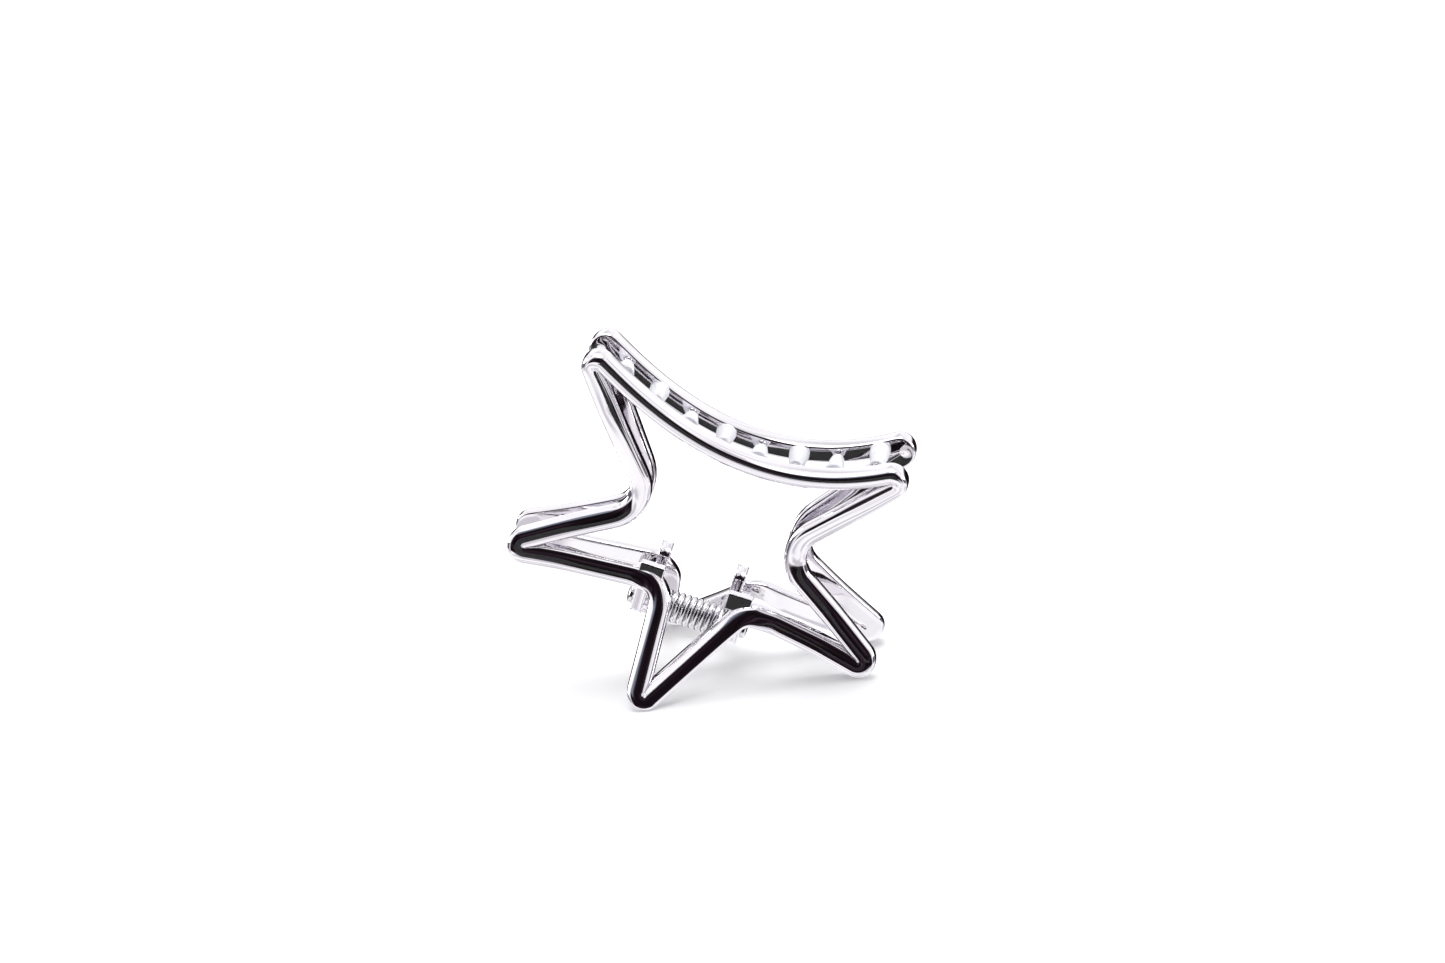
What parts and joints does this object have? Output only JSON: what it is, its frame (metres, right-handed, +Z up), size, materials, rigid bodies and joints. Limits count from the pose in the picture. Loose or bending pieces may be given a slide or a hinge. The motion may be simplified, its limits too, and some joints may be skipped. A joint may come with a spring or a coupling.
{
  "type": "star claw hair clip",
  "caption": "Metal claw hair clip of two open five-point star outlines on a sprung hinge pin, with soft-sleeved teeth along the upper edge",
  "frame": {"origin": "middle of the clip's box, on the table it stands on", "axes": "+X to the right along the length, +Y from the front jaw to the rear jaw, +Z up"},
  "size_m": [0.0544, 0.0284, 0.047],
  "materials": {
    "plated_jaw": "polished",
    "pin_steel": "polished",
    "spring_steel": "bright drawn wire",
    "soft_sleeve": "milky translucent"
  },
  "bodies": {
    "front": {"front_jaw": "plated_jaw", "hinge_pin": "pin_steel", "torsion_spring": "spring_steel", "front_tooth_sleeve_1": "soft_sleeve", "front_tooth_sleeve_2": "soft_sleeve", "front_tooth_sleeve_3": "soft_sleeve", "front_tooth_sleeve_4": "soft_sleeve"},
    "rear": {"rear_jaw": "plated_jaw", "rear_tooth_sleeve_1": "soft_sleeve", "rear_tooth_sleeve_2": "soft_sleeve", "rear_tooth_sleeve_3": "soft_sleeve", "rear_tooth_sleeve_4": "soft_sleeve"}
  },
  "joints": [
    {"name": "jaw_hinge", "type": "hinge", "parent": "front", "child": "rear", "pos_m": [-0.00471, 0, 0.00777], "axis": [-0.9277, 0, 0.3734], "range_deg": [0, 105], "stiffness_Nm_per_rad": 0.03, "springref_deg": -57.3, "deforming": ["torsion_spring"]}
  ]
}
